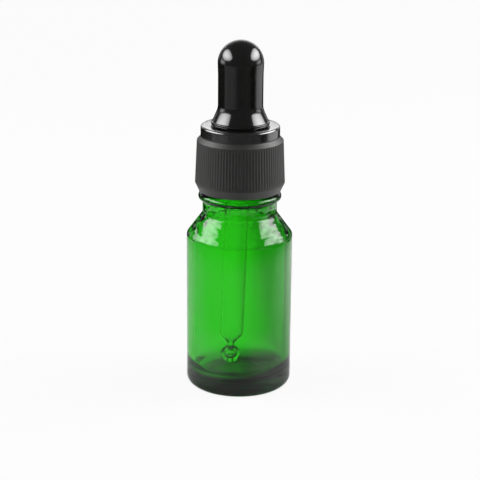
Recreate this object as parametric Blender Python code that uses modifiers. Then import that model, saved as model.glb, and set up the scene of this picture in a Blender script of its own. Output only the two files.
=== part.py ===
"""A 10 ml dropper bottle: a green glass bottle, a ribbed screw cap, a rubber bulb and a glass pipette.

The bottle stands on z = 0 with its axis on Z. The cap, the bulb and the pipette are measured from the
bottle's lip, on empties that lie on the thread's axis, so they can lift and turn as one dropper.
"""
import math

import bmesh
import bpy
from mathutils import Matrix, Vector

MM = 0.001

# The glass bottle
BODY_DIAMETER = 25.0 * MM
BODY_HEIGHT = 37.4 * MM
BODY_WALL = 1.7 * MM
BASE_THICKNESS = 2.2 * MM
FLOOR_RADIUS = 5.0 * MM
HEEL_RADIUS = 1.75 * MM
PUSH_UP_DIAMETER = 15.0 * MM
PUSH_UP_DEPTH = 0.9 * MM
SHOULDER_HEIGHT = 5.1 * MM
SHOULDER_RADIUS = 1.1 * MM
SHOULDER_WALL = 1.8 * MM
NECK_HEIGHT = 3.2 * MM
NECK_WALL = 1.6 * MM
BEAD_HEIGHT = 1.9 * MM
FINISH_DIAMETER = 16.0 * MM
FINISH_WALL = 2.1 * MM
FINISH_BELOW_THREAD = 5.3 * MM
NECK_PROUD_OF_FINISH = 0.75 * MM
BEAD_PROUD_OF_NECK = 1.0 * MM
LIP_RADIUS = 0.6 * MM

# The screw thread: the same rib stands out of the neck and, turned inwards, out of the cap
THREAD_HEIGHT = 0.9 * MM
THREAD_PITCH = 3.0 * MM
THREAD_TURNS = 1.5
THREAD_FOOT = 1.2 * MM
THREAD_CREST = 0.6 * MM
THREAD_BELOW_LIP = 1.9 * MM
THREAD_CLEARANCE = 0.25 * MM
THREAD_RUN_OUT_TURNS = 0.12
THREAD_RUN_OUT_END = 0.2

# The screw cap
SKIRT_WALL_BELOW = 1.39 * MM
SKIRT_WALL_ABOVE = 0.96 * MM
SKIRT_LIP_WALL = 0.475 * MM
SKIRT_LIP_HEIGHT = 2.0 * MM
SKIRT_ABOVE_BEAD = 0.4 * MM
SKIRT_CHAMFER_HEIGHT = 0.9 * MM
TOP_RING_WALL = 0.93 * MM
TOP_RING_HEIGHT = 2.6 * MM
TOP_RING_EDGE_RADIUS = 0.5 * MM
TOP_PLATE = 2.1 * MM
RIB_COUNT = 90
RIB_GROOVE_DEPTH = 0.12 * MM
RIB_TOOL_SIDE = 2.0 * MM

# The rubber bulb
BULB_HEIGHT = 19.5 * MM
BULB_WALL = 1.34 * MM
BULB_HEAD_SWELL = 0.09 * MM
BULB_HEAD_LENGTH = 8.0 * MM
BULB_FLARE_WIDTH = 1.31 * MM
BULB_FLARE_HEIGHT = 3.7 * MM
BULB_FOOT_PROUD = 0.31 * MM
BULB_FOOT_HEIGHT = 0.7 * MM
BULB_WAIST_WALL = 1.45 * MM
BULB_FLANGE_THICKNESS = 1.5 * MM
BULB_GRIP_ABOVE_CAP = 2.7 * MM

# The glass pipette
PIPETTE_DIAMETER = 5.9 * MM
PIPETTE_WALL = 0.6 * MM
PIPETTE_RIM_PROUD = 0.65 * MM
PIPETTE_RIM_HEIGHT = 0.7 * MM
PIPETTE_TIP_ABOVE_FLOOR = 2.55 * MM
PIPETTE_TAPER_LENGTH = 1.9 * MM
PIPETTE_BEND_RADIUS = 1.6 * MM
PIPETTE_NECK_DIAMETER = 2.2 * MM
PIPETTE_NECK_LENGTH = 1.5 * MM
PIPETTE_BALL_DIAMETER = 4.9 * MM
PIPETTE_BALL_HEIGHT = 4.1 * MM
PIPETTE_BALL_WALL = 1.3 * MM
PIPETTE_ORIFICE_DIAMETER = 1.0 * MM
PIPETTE_LEAN = math.radians(2.0)

# The gap between pieces that touch, the depth that joined shapes share, and the facets of round shapes
TOUCH_GAP = 0.3 * MM
EMBED = 0.4 * MM
BOTTLE_SEGMENTS = 56
BULB_SEGMENTS = 48
PIPETTE_SEGMENTS = 24
THREAD_SEGMENTS = 28
ARC_TOLERANCE = 0.05 * MM
MERGE = 0.001 * MM
SHARP_ANGLE = math.radians(35)

# Levels on the bottle, from its base up
SHOULDER_TOP = BODY_HEIGHT + SHOULDER_HEIGHT
BEAD_BOTTOM = SHOULDER_TOP + NECK_HEIGHT
BEAD_TOP = BEAD_BOTTOM + BEAD_HEIGHT
FINISH_HEIGHT = THREAD_BELOW_LIP + THREAD_PITCH * THREAD_TURNS + FINISH_BELOW_THREAD
LIP_TOP = BEAD_TOP + FINISH_HEIGHT

# Levels on the dropper, from the bottle's lip up
THREAD_START = -THREAD_BELOW_LIP - THREAD_PITCH * THREAD_TURNS
FLANGE_BOTTOM = TOUCH_GAP
FLANGE_TOP = FLANGE_BOTTOM + BULB_FLANGE_THICKNESS
PLATE_BOTTOM = FLANGE_TOP + TOUCH_GAP
PLATE_TOP = PLATE_BOTTOM + TOP_PLATE
FLARE_BOTTOM = PLATE_TOP + TOUCH_GAP
GRIP_TOP = FLARE_BOTTOM + BULB_GRIP_ABOVE_CAP

# Radii that one piece takes from another
FINISH_R = FINISH_DIAMETER / 2
FLANGE_R = FINISH_R
GRIP_R = PIPETTE_DIAMETER / 2 + TOUCH_GAP
WAIST_R = GRIP_R + BULB_WAIST_WALL
RIM_R = PIPETTE_DIAMETER / 2 + PIPETTE_RIM_PROUD


def clear_scene():
    for obj in list(bpy.data.objects):
        bpy.data.objects.remove(obj, do_unlink=True)


def make_collection(name):
    collection = bpy.data.collections.new(name)
    bpy.context.scene.collection.children.link(collection)
    return collection


def make_material(name, colour, roughness, transmission=0.0):
    material = bpy.data.materials.new(name)
    material.use_nodes = True
    shader = material.node_tree.nodes["Principled BSDF"]
    shader.inputs["Base Color"].default_value = (*colour, 1.0)
    shader.inputs["Roughness"].default_value = roughness
    shader.inputs["Metallic"].default_value = 0.0
    shader.inputs["Transmission Weight"].default_value = transmission
    material.diffuse_color = (*colour, 1.0)
    return material


def facet_count(radius, turn):
    """How many straight facets keep an arc within ARC_TOLERANCE of its true shape."""
    facet = 2 * math.acos(max(0.0, 1 - ARC_TOLERANCE / radius))
    return max(2, math.ceil(turn / facet))


def rounded(corners):
    """The outline through corners (r, z, fillet radius), with each filleted corner turned into an arc."""
    points = []
    for i, (r, z, fillet) in enumerate(corners):
        corner = Vector((r, z))
        if fillet == 0:
            points.append(corner)
            continue
        previous, following = corners[i - 1], corners[(i + 1) % len(corners)]
        before = Vector(previous[:2]) - corner
        after = Vector(following[:2]) - corner
        turn = math.pi - before.angle(after)
        room_before = before.length / 2 if previous[2] else before.length
        room_after = after.length / 2 if following[2] else after.length
        tangent = min(fillet * math.tan(turn / 2), room_before, room_after)
        radius = tangent / math.tan(turn / 2)
        middle = (before.normalized() + after.normalized()).normalized()
        centre = corner + middle * math.hypot(tangent, radius)
        spoke = corner + before.normalized() * tangent - centre
        swing = math.copysign(turn, after.cross(before))
        steps = facet_count(radius, turn)
        points += [centre + Matrix.Rotation(swing * step / steps, 2) @ spoke for step in range(steps + 1)]
    return [point for i, point in enumerate(points) if i == 0 or (point - points[i - 1]).length > MERGE]


def ellipse_corners(centre_z, half_width, half_height, start_r, end_r):
    """Points down the outer side of an ellipse, from radius start_r over its widest place to end_r."""
    start = math.acos(start_r / half_width)
    end = -math.acos(end_r / half_width)
    steps = facet_count(half_width, start - end)
    angles = [start + (end - start) * step / steps for step in range(steps + 1)]
    return [(half_width * math.cos(a), centre_z + half_height * math.sin(a), 0) for a in angles]


def push_up_corners():
    """The hollow under the bottle, from its edge to the axis."""
    radius = PUSH_UP_DIAMETER / 2
    steps = 3
    across = [1 - step / steps for step in range(steps + 1)]
    return [(radius * a, PUSH_UP_DEPTH * (1 - a * a), 0) for a in across]


def turned(name, corners, closed, segments, collection):
    """An object whose outline, in the XZ plane at +X, is turned round Z."""
    outline = rounded(corners)
    edges = [(i, i + 1) for i in range(len(outline) - 1)]
    if closed:
        edges.append((len(outline) - 1, 0))
    mesh = bpy.data.meshes.new(name)
    mesh.from_pydata([(r, 0.0, z) for r, z in outline], edges, [])
    obj = bpy.data.objects.new(name, mesh)
    collection.objects.link(obj)
    screw = obj.modifiers.new("Turn", "SCREW")
    screw.axis = "Z"
    screw.angle = math.tau
    screw.steps = segments
    screw.render_steps = segments
    screw.use_merge_vertices = True
    screw.merge_threshold = MERGE
    return obj


def add_cutter(name, bm, collection):
    bmesh.ops.recalc_face_normals(bm, faces=bm.faces)
    mesh = bpy.data.meshes.new(name)
    bm.to_mesh(mesh)
    bm.free()
    obj = bpy.data.objects.new(name, mesh)
    obj.display_type = "WIRE"
    obj.hide_render = True
    collection.objects.link(obj)
    return obj


def join_or_cut(obj, other, operation):
    boolean = obj.modifiers.new(other.name, "BOOLEAN")
    boolean.operation = operation
    boolean.object = other
    boolean.solver = "EXACT"


def thread_rib(name, foot_r, crest_r, low_z, collection):
    """A right-handed helical rib from foot_r to crest_r, which sinks into its wall at both ends."""
    steps = round(THREAD_SEGMENTS * THREAD_TURNS)
    foot, crest = THREAD_FOOT / 2, THREAD_CREST / 2
    section = [(foot_r, -foot), (foot_r, foot), (crest_r, crest), (crest_r, -crest)]
    bm = bmesh.new()
    face = bm.faces.new([bm.verts.new((r, 0.0, low_z + z)) for r, z in section])
    bmesh.ops.spin(
        bm,
        geom=[face, *face.edges, *face.verts],
        cent=(0.0, 0.0, 0.0),
        axis=(0.0, 0.0, 1.0),
        dvec=(0.0, 0.0, THREAD_PITCH * THREAD_TURNS / steps),
        angle=math.tau * THREAD_TURNS,
        steps=steps,
    )
    for vert in bm.verts:
        around = math.atan2(vert.co.y, vert.co.x) / math.tau
        turns = around + round((vert.co.z - low_z) / THREAD_PITCH - around)
        ramp = min(turns, THREAD_TURNS - turns) / THREAD_RUN_OUT_TURNS
        share = max(THREAD_RUN_OUT_END, min(1.0, ramp))
        radius = math.hypot(vert.co.x, vert.co.y)
        vert.co.xy *= (foot_r + (radius - foot_r) * share) / radius
    return add_cutter(name, bm, collection)


def settle(obj, material):
    """Keep the object's finished shape as its mesh, shaded smooth with its real edges sharp."""
    evaluated = obj.evaluated_get(bpy.context.evaluated_depsgraph_get())
    mesh = bpy.data.meshes.new_from_object(evaluated)
    obj.modifiers.clear()
    obj.data = mesh
    mesh.name = obj.name
    mesh.shade_smooth()
    mesh.set_sharp_from_angle(angle=SHARP_ANGLE)
    mesh.materials.clear()
    mesh.materials.append(material)


def make_bottle(parts, cutters):
    """Moulded glass: a straight body, a steep shoulder, a neck with its bead, and the threaded finish.

    The body, the shoulder and the neck are blown, each with its own even wall. The finish is pressed
    round a plunger, so the bore is drawn in behind the bead.
    """
    body = BODY_DIAMETER / 2
    inside = body - BODY_WALL
    bore = FINISH_R - FINISH_WALL
    neck = FINISH_R + NECK_PROUD_OF_FINISH
    inner_neck = neck - NECK_WALL
    bead = neck + BEAD_PROUD_OF_NECK
    steepness = SHOULDER_HEIGHT / (body - neck)
    slant_wall = SHOULDER_WALL * math.hypot(1, steepness)
    inner_shoulder = BODY_HEIGHT + BODY_WALL * steepness - slant_wall
    corners = [
        (0.0, BASE_THICKNESS, 0),
        (inside, BASE_THICKNESS, FLOOR_RADIUS),
        (inside, inner_shoulder, SHOULDER_RADIUS),
        (inner_neck, inner_shoulder + (inside - inner_neck) * steepness, SHOULDER_RADIUS),
        (inner_neck, BEAD_BOTTOM, SHOULDER_RADIUS),
        (bore, BEAD_TOP, SHOULDER_RADIUS),
        (bore, LIP_TOP, LIP_RADIUS),
        (FINISH_R, LIP_TOP, LIP_RADIUS),
        (FINISH_R, BEAD_TOP, 0),
        (bead, BEAD_TOP, BEAD_HEIGHT / 2),
        (bead, BEAD_BOTTOM, BEAD_HEIGHT / 2),
        (neck, BEAD_BOTTOM, 0),
        (neck, SHOULDER_TOP, SHOULDER_RADIUS),
        (body, BODY_HEIGHT, SHOULDER_RADIUS),
        (body, 0.0, HEEL_RADIUS),
        *push_up_corners(),
    ]
    bottle = turned("glass_bottle", corners, False, BOTTLE_SEGMENTS, parts)
    low_z = LIP_TOP + THREAD_START
    rib = thread_rib("bottle_thread_tool", FINISH_R - EMBED, FINISH_R + THREAD_HEIGHT, low_z, cutters)
    join_or_cut(bottle, rib, "UNION")
    settle(bottle, make_material("green_glass", (0.02, 0.33, 0.05), 0.05, transmission=0.6))


def rib_grooves(skirt_top_r, skirt_bottom_r, top_z, bottom_z, collection):
    """V grooves round the skirt, cut by square bars that stand on edge and follow the skirt's taper."""
    height = top_z - bottom_z
    out = (skirt_top_r + skirt_bottom_r) / 2 - RIB_GROOVE_DEPTH + RIB_TOOL_SIDE / math.sqrt(2)
    place = Matrix.Translation((out, 0.0, (top_z + bottom_z) / 2))
    tilt = Matrix.Rotation(-math.atan2(skirt_bottom_r - skirt_top_r, height), 4, "Y")
    on_edge = Matrix.Rotation(math.radians(45), 4, "Z")
    size = Matrix.Diagonal((RIB_TOOL_SIDE, RIB_TOOL_SIDE, height, 1.0))
    bm = bmesh.new()
    for rib in range(RIB_COUNT):
        around = Matrix.Rotation(math.tau * rib / RIB_COUNT, 4, "Z")
        bmesh.ops.create_cube(bm, size=1.0, matrix=around @ place @ tilt @ on_edge @ size)
    return add_cutter("rib_groove_tool", bm, collection)


def make_cap(parts, cutters, axis):
    """Moulded plastic: a ribbed skirt, a smooth ring on top, the bulb's seat inside and a thread.

    It has one facet to a rib, so each groove is cut on an edge between two facets.
    """
    cavity = FINISH_R + THREAD_HEIGHT + THREAD_CLEARANCE
    seat = FLANGE_R + TOUCH_GAP
    hole = WAIST_R + TOUCH_GAP
    ring = seat + TOP_RING_WALL
    skirt_top = cavity + SKIRT_WALL_ABOVE
    skirt_bottom = cavity + SKIRT_WALL_BELOW
    lip_z = SKIRT_ABOVE_BEAD - FINISH_HEIGHT
    ribs_bottom_z = lip_z + SKIRT_LIP_HEIGHT
    ring_bottom_z = PLATE_TOP - TOP_RING_HEIGHT
    ribs_top_z = ring_bottom_z - SKIRT_CHAMFER_HEIGHT
    corners = [
        (hole, PLATE_TOP, 0),
        (ring, PLATE_TOP, TOP_RING_EDGE_RADIUS),
        (ring, ring_bottom_z, 0),
        (skirt_top, ribs_top_z, 0),
        (skirt_bottom, ribs_bottom_z, 0),
        (cavity + SKIRT_LIP_WALL, lip_z, 0),
        (cavity, lip_z, 0),
        (cavity, -TOUCH_GAP, 0),
        (seat, FLANGE_BOTTOM, 0),
        (seat, PLATE_BOTTOM, 0),
        (hole, PLATE_BOTTOM, 0),
    ]
    cap = turned("screw_cap", corners, True, RIB_COUNT, parts)
    low_z = THREAD_START - THREAD_PITCH / 2
    rib = thread_rib("cap_thread_tool", cavity + EMBED, FINISH_R + THREAD_CLEARANCE, low_z, cutters)
    join_or_cut(cap, rib, "UNION")
    grooves = rib_grooves(skirt_top, skirt_bottom, ribs_top_z, ribs_bottom_z, cutters)
    join_or_cut(cap, grooves, "DIFFERENCE")
    settle(cap, make_material("black_plastic", (0.03, 0.03, 0.03), 0.5))
    cap.parent = axis


def make_bulb(parts, axis):
    """Moulded rubber: a domed squeeze chamber, its flare on the cap, the waist and the sealing flange."""
    chamber = RIM_R + TOUCH_GAP
    barrel = chamber + BULB_WALL
    head = barrel + BULB_HEAD_SWELL
    flare = barrel + BULB_FLARE_WIDTH
    foot = flare + BULB_FOOT_PROUD
    top = FLARE_BOTTOM + BULB_HEIGHT
    foot_top = FLARE_BOTTOM + BULB_FOOT_HEIGHT
    corners = [
        (0.0, top, 0),
        (head, top, head),
        (head, top - head, 0),
        (barrel, top - BULB_HEAD_LENGTH, 0),
        (barrel, FLARE_BOTTOM + BULB_FLARE_HEIGHT, BULB_FLARE_HEIGHT),
        (flare, foot_top, 0),
        (foot, foot_top, BULB_FOOT_HEIGHT / 2),
        (foot, FLARE_BOTTOM, 0),
        (WAIST_R, FLARE_BOTTOM, 0),
        (WAIST_R, FLANGE_TOP, 0),
        (FLANGE_R, FLANGE_TOP, 0),
        (FLANGE_R, FLANGE_BOTTOM, 0),
        (GRIP_R, FLANGE_BOTTOM, 0),
        (GRIP_R, GRIP_TOP, 0),
        (chamber, GRIP_TOP, 0),
        (chamber, top - BULB_WALL, chamber),
        (0.0, top - BULB_WALL, 0),
    ]
    bulb = turned("rubber_bulb", corners, False, BULB_SEGMENTS, parts)
    settle(bulb, make_material("black_rubber", (0.015, 0.015, 0.014), 0.25))
    bulb.parent = axis


def make_pipette(parts, axis):
    """Drawn glass tube: a fire-polished rim in the bulb, and a hollow ball tip over the bottle's floor.

    It hangs from the middle of the rubber grip, which lets it lean, and is measured from there.
    """
    pivot = (FLANGE_BOTTOM + GRIP_TOP) / 2
    tube = PIPETTE_DIAMETER / 2
    bore = tube - PIPETTE_WALL
    neck = PIPETTE_NECK_DIAMETER / 2
    orifice = PIPETTE_ORIFICE_DIAMETER / 2
    rim_bottom = GRIP_TOP + TOUCH_GAP - pivot
    rim_top = rim_bottom + PIPETTE_RIM_HEIGHT
    tip = BASE_THICKNESS + PIPETTE_TIP_ABOVE_FLOOR - LIP_TOP - pivot
    half_ball = PIPETTE_BALL_HEIGHT / 2
    wide_ball = PIPETTE_BALL_DIAMETER / 2
    ball = ellipse_corners(tip + half_ball, wide_ball, half_ball, neck, orifice)
    inner_ball = ellipse_corners(
        tip + half_ball, wide_ball - PIPETTE_BALL_WALL, half_ball - PIPETTE_BALL_WALL, orifice, orifice
    )
    taper_bottom = ball[0][1] + PIPETTE_NECK_LENGTH
    taper_top = taper_bottom + PIPETTE_TAPER_LENGTH
    corners = [
        (bore, rim_top, 0),
        (RIM_R, rim_top, PIPETTE_RIM_HEIGHT / 2),
        (RIM_R, rim_bottom, PIPETTE_RIM_HEIGHT / 2),
        (tube, rim_bottom, 0),
        (tube, taper_top, PIPETTE_BEND_RADIUS),
        (neck, taper_bottom, PIPETTE_BEND_RADIUS),
        *ball,
        *reversed(inner_ball),
        (orifice, taper_bottom, PIPETTE_BEND_RADIUS),
        (bore, taper_top, PIPETTE_BEND_RADIUS),
    ]
    pipette = turned("glass_pipette", corners, True, PIPETTE_SEGMENTS, parts)
    settle(pipette, make_material("clear_glass", (0.75, 0.8, 0.78), 0.05, transmission=0.9))
    pipette.parent = axis
    pipette.location = (0.0, 0.0, pivot)
    pipette.rotation_euler = (0.0, PIPETTE_LEAN, 0.0)


def add_axis(name, z, parent, collection):
    """An empty on the thread's axis, which the pieces that move along or about it hang from."""
    empty = bpy.data.objects.new(name, None)
    empty.location = (0.0, 0.0, z)
    empty.parent = parent
    collection.objects.link(empty)
    return empty


def main():
    clear_scene()
    parts = make_collection("tincture_bottle")
    cutters = make_collection("cutters")
    make_bottle(parts, cutters)
    lift = add_axis("dropper_lift", LIP_TOP, None, parts)
    turn = add_axis("cap_turn", 0.0, lift, parts)
    make_bulb(parts, lift)
    make_cap(parts, cutters, turn)
    make_pipette(parts, turn)


main()
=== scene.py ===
import math

import bmesh
import bpy
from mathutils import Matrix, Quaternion, Vector


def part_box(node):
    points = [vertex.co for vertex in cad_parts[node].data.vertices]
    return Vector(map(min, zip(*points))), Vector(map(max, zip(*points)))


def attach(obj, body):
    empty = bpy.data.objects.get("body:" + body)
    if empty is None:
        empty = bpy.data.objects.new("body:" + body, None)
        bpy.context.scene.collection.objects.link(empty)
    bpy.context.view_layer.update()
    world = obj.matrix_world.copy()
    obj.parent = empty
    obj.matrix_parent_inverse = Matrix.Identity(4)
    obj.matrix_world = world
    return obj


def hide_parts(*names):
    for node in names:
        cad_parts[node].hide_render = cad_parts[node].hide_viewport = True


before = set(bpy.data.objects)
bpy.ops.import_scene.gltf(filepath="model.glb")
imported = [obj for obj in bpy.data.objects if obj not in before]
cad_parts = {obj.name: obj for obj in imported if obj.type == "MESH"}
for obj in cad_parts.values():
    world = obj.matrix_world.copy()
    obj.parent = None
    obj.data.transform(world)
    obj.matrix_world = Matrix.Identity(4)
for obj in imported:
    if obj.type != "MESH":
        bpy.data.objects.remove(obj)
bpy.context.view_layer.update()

# The bottle: one piece of green glass, blown in a mould, with a steep shoulder, a bead that carries it
# through the filling line, and a right-handed thread. It stands on the ring round the hollow in its
# base, and the glass is rippled at the shoulder.
MM = 0.001
FACET = 0.12 * MM
LEAST_FACETS = 4
WELD = 0.001 * MM
SHARP_ANGLE = math.radians(40)
BOTTLE_STEPS = 256
BODY_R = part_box("glass_bottle")[1].x
LIP_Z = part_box("glass_bottle")[1].z
SHOULDER_Z = 37.4 * MM
SHOULDER_RISE = 5.1 * MM
SHOULDER_ROUND = 1.1 * MM
SHOULDER_WALL = 1.8 * MM
WALL = 1.7 * MM
FLOOR_Z = 2.2 * MM
FLOOR_ROUND = 5.0 * MM
HEEL_ROUND = 1.75 * MM
HOLLOW_R = 7.5 * MM
HOLLOW_DEPTH = 0.9 * MM
HOLLOW_BEND_R = 5.0 * MM
HOLLOW_BEND_Z = 0.5 * MM
HOLLOW_ROUND = 2.0 * MM
FOOT_ROUND = 0.3 * MM
NECK_R = 8.75 * MM
NECK_WALL = 1.6 * MM
BEAD_Z = 45.7 * MM
BEAD_HEIGHT = 1.9 * MM
BEAD_R = 9.75 * MM
BEAD_FOOT_ROUND = 0.3 * MM
FINISH_R = 8.0 * MM
FINISH_WALL = 2.1 * MM
LIP_ROUND = 0.6 * MM
THREAD_PITCH = 3.0 * MM
THREAD_TURNS = 1.5
THREAD_RISE = 0.9 * MM
THREAD_HALF_WIDTH = 0.78 * MM
THREAD_TOP_BELOW_LIP = 1.9 * MM
THREAD_RUN_OUT_TURNS = 0.14
THREAD_ROWS = 72
GREEN_TINT = (0.45, 1.0, 0.31, 1.0)
GREEN_ABSORBED = (0.12, 0.78, 0.06, 1.0)
GREEN_DENSITY = 720.0
GLASS_IOR = 1.52
WAVE_SCALE = 140.0
RIPPLE_SCALE = 290.0
RIPPLE_PLACE = (13 * MM, 0.0, 0.0)
RIPPLE_STRETCH = (1.0, 1.0, 2.0)
RIPPLE_HEIGHT = 18.0
RIPPLES_Z = (36.5 * MM, 38.0 * MM, 46.0 * MM, 48.0 * MM)
CALM_X = (2 * MM, 9 * MM)
CALM_HEIGHT = 0.2
RELIEF_HEIGHT = 0.03 * MM


def spun(corners, steps, closed=False, rows=None):
    """The outline through corners (radius, height, rounding), each corner bevelled, spun round Z.

    rows gives the number of cuts across the stretch that starts at a corner."""
    bm = bmesh.new()
    verts = [bm.verts.new((radius, 0.0, height)) for radius, height, _ in corners]
    ends = list(zip(verts, verts[1:] + verts[:1]))
    edges = [bm.edges.new(pair) for pair in (ends if closed else ends[:-1])]
    for start, cuts in (rows or {}).items():
        bmesh.ops.subdivide_edges(bm, edges=[edges[start]], cuts=cuts)
    for radius, height, rounding in corners:
        if rounding:
            place = Vector((radius, 0.0, height))
            vert = min(bm.verts, key=lambda v: (v.co - place).length)
            arms = [edge.other_vert(vert).co - vert.co for edge in vert.link_edges]
            turn = math.pi - arms[0].angle(arms[1])
            width = min(rounding * math.tan(turn / 2), arms[0].length, arms[1].length)
            facets = max(LEAST_FACETS, round(rounding * turn / FACET))
            bmesh.ops.bevel(
                bm, geom=[vert], offset=width, offset_type="OFFSET", affect="VERTICES",
                segments=facets, profile=0.5, material=-1,
            )
    bmesh.ops.spin(
        bm, geom=bm.verts[:] + bm.edges[:], cent=(0, 0, 0), axis=(0, 0, 1),
        angle=math.tau, steps=steps, use_merge=True,
    )
    bmesh.ops.remove_doubles(bm, verts=bm.verts, dist=WELD)
    bmesh.ops.recalc_face_normals(bm, faces=bm.faces)
    return bm


def add_thread(bm, wall_r, low_z, rise):
    """Swells the wall at wall_r by rise into a thread's helical rib, which runs out at each end.

    The rib is full at its crest and soft at its foot."""
    for vert in bm.verts:
        radius = vert.co.xy.length
        if abs(radius - wall_r) > WELD:
            continue
        around = math.atan2(vert.co.y, vert.co.x) / math.tau
        turns = around + round((vert.co.z - low_z) / THREAD_PITCH - around)
        off = abs(vert.co.z - low_z - turns * THREAD_PITCH) / THREAD_HALF_WIDTH
        ramp = min(turns, THREAD_TURNS - turns) / THREAD_RUN_OUT_TURNS
        if off < 1 and ramp > 0:
            share = math.sin(min(ramp, 1.0) * math.pi / 2) * (1 - off ** 3) ** 1.5
            vert.co.xy *= (wall_r + rise * share) / wall_r


def finished(name, bm, material):
    """The bmesh as an object at the origin, shaded smooth between its real edges."""
    mesh = bpy.data.meshes.new(name)
    bm.to_mesh(mesh)
    bm.free()
    mesh.shade_smooth()
    mesh.set_sharp_from_angle(angle=SHARP_ANGLE)
    mesh.materials.append(material)
    piece = bpy.data.objects.new(name, mesh)
    bpy.context.scene.collection.objects.link(piece)
    return piece


class Signal:
    """A socket in a shader tree. Sums on signals add Math nodes, and node() adds any other node."""

    def __init__(self, tree, socket=None):
        self.tree = tree
        self.socket = socket

    def node(self, kind, settings=None, sockets=None, out=0):
        made = self.tree.nodes.new("ShaderNode" + kind)
        for name, value in (settings or {}).items():
            setattr(made, name, value)
        for name, value in (sockets or {}).items():
            if isinstance(value, Signal):
                self.tree.links.new(value.socket, made.inputs[name])
            else:
                made.inputs[name].default_value = value
        return Signal(self.tree, made.outputs[out] if len(made.outputs) else None)

    def maths(self, operation, first, second):
        return self.node("Math", {"operation": operation}, {0: first, 1: second})

    def __add__(self, other):
        return self.maths("ADD", self, other)

    def __sub__(self, other):
        return self.maths("SUBTRACT", self, other)

    def __rsub__(self, other):
        return self.maths("SUBTRACT", other, self)

    def __mul__(self, other):
        return self.maths("MULTIPLY", self, other)

    __radd__ = __add__
    __rmul__ = __mul__


def emptied(owner):
    """The cleared shader tree of a material, a lamp or the world, ready for node()."""
    owner.use_nodes = True
    owner.node_tree.nodes.clear()
    return Signal(owner.node_tree)


def risen(value, span):
    """A soft step: 0 where value is at span's start or short of it, 1 from span's end on."""
    return value.node(
        "MapRange", {"interpolation_type": "SMOOTHSTEP"},
        {"Value": value, "From Min": span[0], "From Max": span[1]},
    )


shoulder_run = BODY_R - NECK_R
shoulder_slope = math.hypot(shoulder_run, SHOULDER_RISE)
inside_r = BODY_R - WALL
inner_neck_r = NECK_R - NECK_WALL
bore_r = FINISH_R - FINISH_WALL
inner_shoulder_z = SHOULDER_Z + (WALL * SHOULDER_RISE - SHOULDER_WALL * shoulder_slope) / shoulder_run
inner_neck_z = inner_shoulder_z + (inside_r - inner_neck_r) * SHOULDER_RISE / shoulder_run
bottle_corners = [
    (0.0, FLOOR_Z, 0),
    (inside_r, FLOOR_Z, FLOOR_ROUND),
    (inside_r, inner_shoulder_z, SHOULDER_ROUND),
    (inner_neck_r, inner_neck_z, SHOULDER_ROUND),
    (inner_neck_r, BEAD_Z, SHOULDER_ROUND),
    (bore_r, BEAD_Z + BEAD_HEIGHT, SHOULDER_ROUND),
    (bore_r, LIP_Z, LIP_ROUND),
    (FINISH_R, LIP_Z, LIP_ROUND),
    (FINISH_R, BEAD_Z + BEAD_HEIGHT, BEAD_FOOT_ROUND),
    (BEAD_R, BEAD_Z + BEAD_HEIGHT, BEAD_HEIGHT / 2),
    (BEAD_R, BEAD_Z, BEAD_HEIGHT / 2),
    (NECK_R, BEAD_Z, BEAD_FOOT_ROUND),
    (NECK_R, SHOULDER_Z + SHOULDER_RISE, SHOULDER_ROUND),
    (BODY_R, SHOULDER_Z, SHOULDER_ROUND),
    (BODY_R, 0.0, HEEL_ROUND),
    (HOLLOW_R, 0.0, FOOT_ROUND),
    (HOLLOW_BEND_R, HOLLOW_BEND_Z, HOLLOW_ROUND),
    (0.0, HOLLOW_DEPTH, 0),
]
finish_side = bottle_corners.index((FINISH_R, LIP_Z, LIP_ROUND))
bottle_bm = spun(bottle_corners, BOTTLE_STEPS, rows={finish_side: THREAD_ROWS})
add_thread(bottle_bm, FINISH_R, LIP_Z - THREAD_TOP_BELOW_LIP - THREAD_PITCH * THREAD_TURNS, THREAD_RISE)

green_glass = bpy.data.materials.new("moulded_green_glass")
start = emptied(green_glass)
place = start.node("TexCoord", out="Object")
height = start.node("SeparateXYZ", sockets={"Vector": place}, out="Z")
smooth_noise = {"Detail": 1.0, "Roughness": 0.4}
waves = start.node("TexNoise", sockets={"Vector": place, "Scale": WAVE_SCALE, **smooth_noise})
flattened = start.node(
    "Mapping", sockets={"Vector": place, "Location": RIPPLE_PLACE, "Scale": RIPPLE_STRETCH},
)
ripples = start.node("TexNoise", sockets={"Vector": flattened, "Scale": RIPPLE_SCALE, **smooth_noise})
on_shoulder = risen(height, RIPPLES_Z[:2]) * (1 - risen(height, RIPPLES_Z[2:]))
across = start.node("SeparateXYZ", sockets={"Vector": place}, out="X")
off_centre = risen(across.maths("ABSOLUTE", across, 0.0), CALM_X) * (1 - CALM_HEIGHT) + CALM_HEIGHT
glass_relief = waves + (ripples - 0.5) * on_shoulder * off_centre * RIPPLE_HEIGHT
glass_shader = start.node(
    "BsdfPrincipled",
    sockets={
        "Base Color": GREEN_TINT,
        "Roughness": 0.0,
        "IOR": GLASS_IOR,
        "Transmission Weight": 1.0,
        "Normal": start.node(
            "Bump", sockets={"Height": glass_relief, "Strength": 1.0, "Distance": RELIEF_HEIGHT},
        ),
    },
)
glass_depth = start.node("VolumeAbsorption", sockets={"Color": GREEN_ABSORBED, "Density": GREEN_DENSITY})
start.node("OutputMaterial", sockets={"Surface": glass_shader, "Volume": glass_depth})

bottle = finished("green_bottle", bottle_bm, green_glass)
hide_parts("glass_bottle")
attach(bottle, "bottle")

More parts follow.
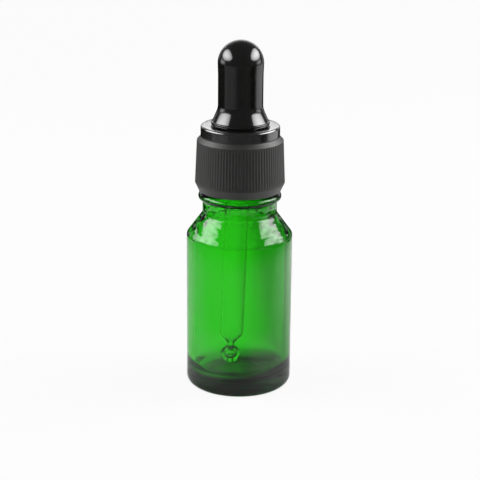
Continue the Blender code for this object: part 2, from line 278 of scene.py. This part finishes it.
# The dropper's pipette: a drawn tube of clear glass with a fire-polished rim at its top. It is drawn in
# to a narrow neck and blown out again to a thick hollow ball with a fine hole, and it leans in its grip.
PIPETTE_STEPS = 96
TUBE_R = 2.95 * MM
BORE_R = 2.35 * MM
RIM_R = 3.6 * MM
RIM_Z = 66.8 * MM
RIM_HEIGHT = 0.7 * MM
RIM_ROUND = 0.3 * MM
MELT_ROUND = 0.2 * MM
TIP_Z = 4.75 * MM
BALL_R = 2.45 * MM
BALL_HEIGHT = 4.1 * MM
BALL_WALL = 1.3 * MM
BALL_FACETS = 20
TIP_NECK_R = 1.1 * MM
TIP_NECK_LENGTH = 1.5 * MM
ORIFICE_R = 0.5 * MM
TAPER_LENGTH = 1.9 * MM
TAPER_ROUND = 1.6 * MM
PIVOT_Z = 63.05 * MM
LEAN = math.radians(2.0)
CLEAR_IOR = 1.5
CLEAR_TINT = (0.99, 1.0, 0.995, 1.0)


def ball_corners(shrink, neck_r):
    """Corners down the ball's side, shrink within its outer surface, from its neck to its hole."""
    across = BALL_R - shrink
    half = BALL_HEIGHT / 2 - shrink
    neck_angle = math.acos(neck_r / across)
    turn = neck_angle + math.acos(ORIFICE_R / across)
    angles = [neck_angle - turn * step / BALL_FACETS for step in range(BALL_FACETS + 1)]
    middle_z = TIP_Z + BALL_HEIGHT / 2
    return [(across * math.cos(angle), middle_z + half * math.sin(angle), 0) for angle in angles]


outer_ball = ball_corners(0, TIP_NECK_R)
taper_low = outer_ball[0][1] + TIP_NECK_LENGTH
taper_top = taper_low + TAPER_LENGTH
pipette_corners = [
    (BORE_R, RIM_Z + RIM_HEIGHT, MELT_ROUND),
    (RIM_R, RIM_Z + RIM_HEIGHT, RIM_ROUND),
    (RIM_R, RIM_Z, RIM_ROUND),
    (TUBE_R, RIM_Z, MELT_ROUND),
    (TUBE_R, taper_top, TAPER_ROUND),
    (TIP_NECK_R, taper_low, TAPER_ROUND),
    *outer_ball,
    *reversed(ball_corners(BALL_WALL, ORIFICE_R)),
    (ORIFICE_R, taper_low, TAPER_ROUND),
    (BORE_R, taper_top, TAPER_ROUND),
]
pipette_bm = spun(pipette_corners, PIPETTE_STEPS, closed=True)
bmesh.ops.rotate(
    pipette_bm, verts=pipette_bm.verts, cent=(0, 0, PIVOT_Z),
    matrix=Quaternion((0, 1, 0), LEAN).to_matrix(),
)

clear_glass = bpy.data.materials.new("drawn_clear_glass")
start = emptied(clear_glass)
clear_shader = start.node(
    "BsdfPrincipled",
    sockets={"Base Color": CLEAR_TINT, "Roughness": 0.0, "IOR": CLEAR_IOR, "Transmission Weight": 1.0},
)
start.node("OutputMaterial", sockets={"Surface": clear_shader})
pipette = finished("ball_tip_pipette", pipette_bm, clear_glass)
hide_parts("glass_pipette")
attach(pipette, "cap")

# The squeeze bulb: black rubber moulded in one piece with its flare on the cap, the waist through the
# cap's hole and the flange under the top plate, which seals the bottle's lip. Its mould was polished.
BULB_STEPS = 160
BULB_TOP_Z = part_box("rubber_bulb")[1].z
HEAD_R = 5.33 * MM
BARREL_R = 5.24 * MM
HEAD_LENGTH = 8.0 * MM
HEAD_ROUND = 2.0 * MM
FLARE_R = 6.55 * MM
FLARE_RISE = 3.7 * MM
FOOT_R = 6.86 * MM
FOOT_Z = 63.8 * MM
FOOT_HEIGHT = 0.7 * MM
FOOT_EDGE = 0.15 * MM
RUBBER_EDGE = 0.2 * MM
WAIST_R = 4.7 * MM
FLANGE_R = 8.0 * MM
FLANGE_Z = 59.6 * MM
FLANGE_HEIGHT = 1.5 * MM
GRIP_R = 3.25 * MM
GRIP_TOP_Z = 66.5 * MM
CHAMBER_R = 3.9 * MM
BULB_WALL = 1.34 * MM
RUBBER_BLACK = (0.007, 0.007, 0.0065, 1.0)
RUBBER_IOR = 1.8
RUBBER_GLOSS = 0.06
RUBBER_DULLING = 0.12
CLOUD_SCALE = 260.0
PEEL_SCALE = 1500.0
PEEL_HEIGHT = 0.003 * MM

bulb_corners = [
    (0.0, BULB_TOP_Z, 0),
    (HEAD_R, BULB_TOP_Z, HEAD_R),
    (HEAD_R, BULB_TOP_Z - HEAD_R, 0),
    (BARREL_R, BULB_TOP_Z - HEAD_LENGTH, HEAD_ROUND),
    (BARREL_R, FOOT_Z + FLARE_RISE, FLARE_RISE),
    (FLARE_R, FOOT_Z + FOOT_HEIGHT, RUBBER_EDGE),
    (FOOT_R, FOOT_Z + FOOT_HEIGHT, FOOT_HEIGHT / 2),
    (FOOT_R, FOOT_Z, FOOT_EDGE),
    (WAIST_R, FOOT_Z, 0),
    (WAIST_R, FLANGE_Z + FLANGE_HEIGHT, 0),
    (FLANGE_R, FLANGE_Z + FLANGE_HEIGHT, RUBBER_EDGE),
    (FLANGE_R, FLANGE_Z, RUBBER_EDGE),
    (GRIP_R, FLANGE_Z, RUBBER_EDGE),
    (GRIP_R, GRIP_TOP_Z, 0),
    (CHAMBER_R, GRIP_TOP_Z, 0),
    (CHAMBER_R, BULB_TOP_Z - BULB_WALL, CHAMBER_R),
    (0.0, BULB_TOP_Z - BULB_WALL, 0),
]
black_rubber = bpy.data.materials.new("polished_black_rubber")
start = emptied(black_rubber)
place = start.node("TexCoord", out="Object")
clouds = start.node("TexNoise", sockets={"Vector": place, "Scale": CLOUD_SCALE, "Detail": 3.0})
peel = start.node("TexNoise", sockets={"Vector": place, "Scale": PEEL_SCALE, "Detail": 2.0})
rubber_shader = start.node(
    "BsdfPrincipled",
    sockets={
        "Base Color": RUBBER_BLACK,
        "Roughness": clouds * RUBBER_DULLING + RUBBER_GLOSS,
        "IOR": RUBBER_IOR,
        "Normal": start.node("Bump", sockets={"Height": peel, "Strength": 1.0, "Distance": PEEL_HEIGHT}),
    },
)
start.node("OutputMaterial", sockets={"Surface": rubber_shader})
bulb = finished("squeeze_bulb", spun(bulb_corners, BULB_STEPS), black_rubber)
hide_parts("rubber_bulb")
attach(bulb, "bulb")

# The screw cap: black plastic, moulded in one piece with a ribbed skirt, a smooth ring round the
# bulb's hole and the thread inside. The mould is polished at the ring and plain at the skirt. The skirt's
# black is painted a little lighter than the ring's, a painted sheen for its matte surface.
CAP_RIBS = 90
STEPS_PER_RIB = 6
CAVITY_R = 9.15 * MM
SEAT_R = 8.3 * MM
HOLE_R = 5.0 * MM
RING_R = 9.23 * MM
SKIRT_TOP_R = 10.11 * MM
SKIRT_LOW_R = 10.54 * MM
SKIRT_LIP_R = 9.625 * MM
CAP_LIP_Z = 48.0 * MM
RIBS_LOW_Z = 50.0 * MM
RIBS_TOP_Z = 60.0 * MM
RING_LOW_Z = 60.9 * MM
CAP_TOP_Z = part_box("screw_cap")[1].z
CAVITY_TOP_Z = 59.0 * MM
SEAT_Z = 59.6 * MM
SEAT_TOP_Z = 61.4 * MM
RING_ROUND = 0.5 * MM
SKIRT_EDGE = 0.12 * MM
MOUTH_EDGE = 0.1 * MM
HOLE_EDGE = 0.15 * MM
RIB_DEPTH = 0.12 * MM
RIB_ROWS = 20
RIB_RUN_OUT = 0.5 * MM
SKIRT_SKIN = 0.05 * MM
CAP_THREAD_ROWS = 64
# The skirt's black is painted lighter than the ring's, a painted sheen for the light its matte surface
# scatters.
SKIRT_BLACK_WITH_PAINTED_SHEEN = (0.027, 0.0265, 0.025, 1.0)
GLOSS_BLACK = (0.012, 0.012, 0.011, 1.0)
PLASTIC_IOR = 1.7
SKIRT_DULLING = 0.42
HANDLING_DULLING = 0.14
RING_POLISH = 0.28
RING_COAT_IOR = 1.9
RING_COAT_DULLING = 0.06
GRAIN_SCALE = 2500.0
GRAIN_HEIGHT = 0.004 * MM
HANDLING_SCALE = 220.0

cap_corners = [
    (HOLE_R, CAP_TOP_Z, HOLE_EDGE),
    (RING_R, CAP_TOP_Z, RING_ROUND),
    (RING_R, RING_LOW_Z, SKIRT_EDGE),
    (SKIRT_TOP_R, RIBS_TOP_Z, SKIRT_EDGE),
    (SKIRT_LOW_R, RIBS_LOW_Z, SKIRT_EDGE),
    (SKIRT_LIP_R, CAP_LIP_Z, SKIRT_EDGE),
    (CAVITY_R, CAP_LIP_Z, MOUTH_EDGE),
    (CAVITY_R, CAVITY_TOP_Z, 0),
    (SEAT_R, SEAT_Z, 0),
    (SEAT_R, SEAT_TOP_Z, 0),
    (HOLE_R, SEAT_TOP_Z, HOLE_EDGE),
]
skirt_side = cap_corners.index((SKIRT_TOP_R, RIBS_TOP_Z, SKIRT_EDGE))
cavity_side = cap_corners.index((CAVITY_R, CAP_LIP_Z, MOUTH_EDGE))
cap_bm = spun(
    cap_corners, CAP_RIBS * STEPS_PER_RIB, closed=True,
    rows={skirt_side: RIB_ROWS, cavity_side: CAP_THREAD_ROWS},
)
cap_thread_z = LIP_Z - THREAD_TOP_BELOW_LIP - THREAD_PITCH * (THREAD_TURNS + 0.5)
add_thread(cap_bm, CAVITY_R, cap_thread_z, -THREAD_RISE)
for vert in cap_bm.verts:
    radius = vert.co.xy.length
    up = (vert.co.z - RIBS_LOW_Z) / (RIBS_TOP_Z - RIBS_LOW_Z)
    skirt_r = SKIRT_LOW_R + (SKIRT_TOP_R - SKIRT_LOW_R) * up
    if 0 < up < 1 and radius > skirt_r - SKIRT_SKIN:
        groove = 0.5 - 0.5 * math.cos(math.atan2(vert.co.y, vert.co.x) * CAP_RIBS)
        room = min(vert.co.z - RIBS_LOW_Z, RIBS_TOP_Z - vert.co.z) / RIB_RUN_OUT
        vert.co.xy *= (radius - RIB_DEPTH * groove * min(1.0, room)) / radius

black_plastic = bpy.data.materials.new("moulded_black_plastic")
start = emptied(black_plastic)
place = start.node("TexCoord", out="Object")
height = start.node("SeparateXYZ", sockets={"Vector": place}, out="Z")
on_ring = start.node(
    "MapRange",
    sockets={"Value": height, "From Min": RING_LOW_Z, "From Max": RING_LOW_Z + RING_ROUND},
)
grain = start.node("TexNoise", sockets={"Vector": place, "Scale": GRAIN_SCALE, "Detail": 3.0})
handled = start.node("TexNoise", sockets={"Vector": place, "Scale": HANDLING_SCALE, "Detail": 3.0})
# Painted sheen: the skirt is painted a lighter black than the polished ring of the same plastic.
plastic_black_with_painted_sheen = start.node(
    "Mix", {"data_type": "RGBA"}, {0: on_ring, 6: SKIRT_BLACK_WITH_PAINTED_SHEEN, 7: GLOSS_BLACK}, out=2,
)
plastic_shader = start.node(
    "BsdfPrincipled",
    sockets={
        "Base Color": plastic_black_with_painted_sheen,
        "Roughness": SKIRT_DULLING + handled * HANDLING_DULLING - on_ring * RING_POLISH,
        "IOR": PLASTIC_IOR,
        "Coat Weight": on_ring,
        "Coat Roughness": RING_COAT_DULLING,
        "Coat IOR": RING_COAT_IOR,
        "Normal": start.node("Bump", sockets={"Height": grain, "Strength": 1.0, "Distance": GRAIN_HEIGHT}),
    },
)
start.node("OutputMaterial", sockets={"Surface": plastic_shader})
cap = finished("ribbed_screw_cap", cap_bm, black_plastic)
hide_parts("screw_cap")
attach(cap, "cap")

# The stage: a white sweep, a floor that runs up into a backdrop. The camera sees it white, with a trace
# of the lamps' light on it for the shadow. The glass shows it white behind the bottle, with a painted
# shadow under it and painted shade on the right. A gloss sees it lit, with painted shade that falls off
# into the dark room in front, and painted pools of light beside the foot, at each side, far in front and
# up the backdrop.
SWEEP_FRONT = -0.40
SWEEP_BACK = 0.60
SWEEP_SIDE = 0.50
SWEEP_TOP = 0.70
SWEEP_ROUND = 0.25
SWEEP_FACETS = 24
SWEEP_GREY = 0.70
SHADOW_SHARE = 0.08
FOOT_SHADE_R = (10 * MM, 18 * MM)
FOOT_SHADE_X = 3 * MM
RIGHT_SHADE_X = (-2 * MM, 16 * MM)
RIGHT_SHADE = 0.55
SURFACES_PASSED = (5, 7)
TUBE_SHADE_SHARE = 0.4
GLOSS_NEAR_R = (110 * MM, 160 * MM)
GLOSS_FRONT_Y = (-40 * MM, 0)
GLOSS_FRONT = 0.5
GLOSS_FOOT_X = (6 * MM, 20 * MM)
GLOSS_FOOT_Y = (-6 * MM, 8 * MM)
GLOSS_FOOT_R = (35 * MM, 60 * MM)
GLOSS_FOOT = 0.7
GLOSS_BESIDE_X = (30 * MM, 80 * MM)
GLOSS_BESIDE = 0.4
GLOSS_LEFT_X = (-180 * MM, -60 * MM)
GLOSS_LEFT_Y = (-60 * MM, 20 * MM)
GLOSS_LEFT = 0.25
GLOSS_RIGHT_X = (190 * MM, 250 * MM)
GLOSS_RIGHT_Y = (-100 * MM, 30 * MM)
GLOSS_RIGHT = 0.72
GLOSS_FAR_Y = (-260 * MM, -200 * MM)
GLOSS_FAR = 0.16
GLOSS_BACKDROP_Z = (20 * MM, 100 * MM)

sweep_bm = bmesh.new()
front = sweep_bm.verts.new((-SWEEP_SIDE, SWEEP_FRONT, 0.0))
corner = sweep_bm.verts.new((-SWEEP_SIDE, SWEEP_BACK, 0.0))
top = sweep_bm.verts.new((-SWEEP_SIDE, SWEEP_BACK, SWEEP_TOP))
sweep_bm.edges.new((front, corner))
sweep_bm.edges.new((corner, top))
bmesh.ops.bevel(
    sweep_bm, geom=[corner], offset=SWEEP_ROUND, offset_type="OFFSET", affect="VERTICES",
    segments=SWEEP_FACETS, profile=0.5, material=-1,
)
edge_run = bmesh.ops.extrude_edge_only(sweep_bm, edges=sweep_bm.edges[:])
bmesh.ops.translate(
    sweep_bm, vec=(2 * SWEEP_SIDE, 0, 0),
    verts=[item for item in edge_run["geom"] if isinstance(item, bmesh.types.BMVert)],
)
bmesh.ops.recalc_face_normals(sweep_bm, faces=sweep_bm.faces)

paper = bpy.data.materials.new("white_sweep")
start = emptied(paper)
place = start.node("TexCoord", out="Object")
from_axis = start.node("VectorMath", {"operation": "LENGTH"}, {0: place}, out="Value")
across = start.node("SeparateXYZ", sockets={"Vector": place}, out="X")
back = start.node("SeparateXYZ", sockets={"Vector": place}, out="Y")
height = start.node("SeparateXYZ", sockets={"Vector": place}, out="Z")
by_camera = start.node("LightPath", out="Is Camera Ray")
by_glass = start.node("LightPath", out="Is Transmission Ray")
by_gloss = start.node("LightPath", out="Is Glossy Ray")
passed = start.node("LightPath", out="Transmission Depth")
from_foot = start.node(
    "VectorMath", {"operation": "DISTANCE"}, {0: place, 1: (FOOT_SHADE_X, 0, 0)}, out="Value",
)
# Seen through the glass, the sweep has a painted shadow under the bottle and painted shade on its right.
right_shade = risen(across, RIGHT_SHADE_X) * RIGHT_SHADE
# Light that has passed the pipette's tube as well as the bottle is shaded less.
right_shade *= 1 - risen(passed, SURFACES_PASSED) * (1 - TUBE_SHADE_SHARE)
glass_white_with_painted_shade = by_glass * risen(from_foot, FOOT_SHADE_R) * (1 - right_shade)
# What reflections see of the sweep is painted: painted shade in front and beyond a patch round the bottle,
# and painted pools of light beside the foot, at the left and right, far in front and up the backdrop.
near = risen(back, GLOSS_FRONT_Y) * (1 - GLOSS_FRONT) + GLOSS_FRONT
near *= 1 - risen(from_axis, GLOSS_NEAR_R)
left = (1 - risen(across, GLOSS_LEFT_X)) * (1 - risen(back, GLOSS_LEFT_Y)) * GLOSS_LEFT
right = risen(across, GLOSS_RIGHT_X) * risen(back, GLOSS_RIGHT_Y) * GLOSS_RIGHT
far = (1 - risen(back, GLOSS_FAR_Y)) * GLOSS_FAR
painted_light_in_gloss = near + left + right + far + risen(height, GLOSS_BACKDROP_Z)
sideways = across.maths("ABSOLUTE", across, 0.0)
foot = risen(sideways, GLOSS_FOOT_X) * (1 - risen(from_axis, GLOSS_FOOT_R))
foot *= (1 - risen(back, GLOSS_FOOT_Y)) * GLOSS_FOOT
beside = near * risen(across, GLOSS_BESIDE_X) * GLOSS_BESIDE
painted_light_in_gloss = painted_light_in_gloss.maths("MINIMUM", painted_light_in_gloss, 1.0) + foot + beside
grey = (1 - by_gloss * (1 - painted_light_in_gloss)) * SWEEP_GREY
lit = start.node("BsdfDiffuse", sockets={"Color": grey})
white = start.node("Emission", sockets={"Color": by_camera + glass_white_with_painted_shade, "Strength": 1.0})
share = (by_camera + by_glass) * (1 - SHADOW_SHARE)
seen = start.node("MixShader", sockets={0: share, 1: lit, 2: white})
start.node("OutputMaterial", sockets={"Surface": seen})
sweep = finished("sweep", sweep_bm, paper)

# The light: a softbox on each side of the bottle, high up, with a low card behind each and a strip at
# the back, in a dim room. The room is white only to the camera.
SOFTBOX_AWAY = 0.50
SOFTBOX_UP = math.radians(32)
SOFTBOX_WIDTH = 0.68
SOFTBOX_HEIGHT = 0.32
SOFTBOX_BACK = {-1: 0.0, 1: math.radians(7)}
SOFTBOX_RADIANCE = {-1: 5.7, 1: 6.6}
CARD_BACK = math.radians(12)
CARD_UP = math.radians(5)
CARD_WIDTH = 0.32
CARD_HEIGHT = 0.12
CARD_RADIANCE = 1.9
STRIP_AWAY = 0.50
STRIP_UP = math.radians(19)
STRIP_WIDTH = 0.50
STRIP_HEIGHT = 0.09
STRIP_RADIANCE = 1.25
LAMP_MIDDLE = (0.5, 0.5, 0.0)
LAMP_SPOT = (0.05, 0.6)
LAMP_RIM = 0.3
ROOM_LIGHT = 0.08
ROOM_WHITE = (1.0, 1.0, 1.0, 1.0)
AIM = Vector((0.0, 0.0, 40 * MM))


def hang_lamp(name, shape, reach, width, height, radiance):
    """An area lamp at reach from the bottle's middle, turned to it and unseen itself.

    It is as strong as a rectangle of that radiance, and fades from its middle to its rim."""
    lamp = bpy.data.lights.new(name, "AREA")
    lamp.shape = shape
    lamp.size = width
    lamp.size_y = height
    lamp.energy = radiance * math.pi * width * height
    hung = bpy.data.objects.new(name, lamp)
    hung.location = AIM + reach
    hung.rotation_mode = "QUATERNION"
    hung.rotation_quaternion = reach.to_track_quat("Z", "Y")
    hung.visible_camera = False
    hung.visible_transmission = False
    bpy.context.scene.collection.objects.link(hung)
    start = emptied(lamp)
    on_lamp = start.node("NewGeometry", out="Parametric")
    off = start.node("VectorMath", {"operation": "DISTANCE"}, {0: on_lamp, 1: LAMP_MIDDLE}, out="Value")
    glow = 1 - risen(off, LAMP_SPOT) * (1 - LAMP_RIM)
    start.node("OutputLight", sockets={"Surface": start.node("Emission", sockets={"Color": glow})})


for side, radiance in SOFTBOX_RADIANCE.items():
    level = Vector((side * math.cos(SOFTBOX_BACK[side]), math.sin(SOFTBOX_BACK[side]), 0.0))
    reach = (level * math.cos(SOFTBOX_UP) + Vector((0.0, 0.0, math.sin(SOFTBOX_UP)))) * SOFTBOX_AWAY
    hang_lamp("side_softbox", "ELLIPSE", reach, SOFTBOX_WIDTH, SOFTBOX_HEIGHT, radiance)
    reach = Vector((side * math.cos(CARD_BACK), math.sin(CARD_BACK), math.sin(CARD_UP))) * SOFTBOX_AWAY
    hang_lamp("side_card", "RECTANGLE", reach, CARD_WIDTH, CARD_HEIGHT, CARD_RADIANCE)
reach = Vector((0.0, math.cos(STRIP_UP), math.sin(STRIP_UP))) * STRIP_AWAY
hang_lamp("back_strip", "RECTANGLE", reach, STRIP_WIDTH, STRIP_HEIGHT, STRIP_RADIANCE)

world = bpy.data.worlds.new("room")
bpy.context.scene.world = world
start = emptied(world)
brightness = start.node("LightPath", out="Is Camera Ray") * (1 - ROOM_LIGHT) + ROOM_LIGHT
room = start.node("Background", sockets={"Color": ROOM_WHITE, "Strength": brightness})
start.node("OutputWorld", sockets={"Surface": room})

# The camera: a long lens at arm's length, looking down at the bottle, held a touch off level.
CAMERA_PLACE = Vector((0.13 * MM, -339.5 * MM, 142.7 * MM))
CAMERA_AIM = Vector((0.13 * MM, 0.0, 35.5 * MM))
CAMERA_LENS = 112.5
CAMERA_SENSOR = 36.0
CAMERA_ROLL = math.radians(0.48)

camera_data = bpy.data.cameras.new("camera")
camera_data.lens = CAMERA_LENS
camera_data.sensor_width = CAMERA_SENSOR
camera = bpy.data.objects.new("camera", camera_data)
camera.location = CAMERA_PLACE
camera.rotation_mode = "QUATERNION"
looking = (CAMERA_AIM - CAMERA_PLACE).to_track_quat("-Z", "Y")
camera.rotation_quaternion = looking @ Quaternion((0, 0, 1), CAMERA_ROLL)
bpy.context.scene.collection.objects.link(camera)
bpy.context.scene.camera = camera
bpy.context.scene.view_settings.view_transform = "Standard"
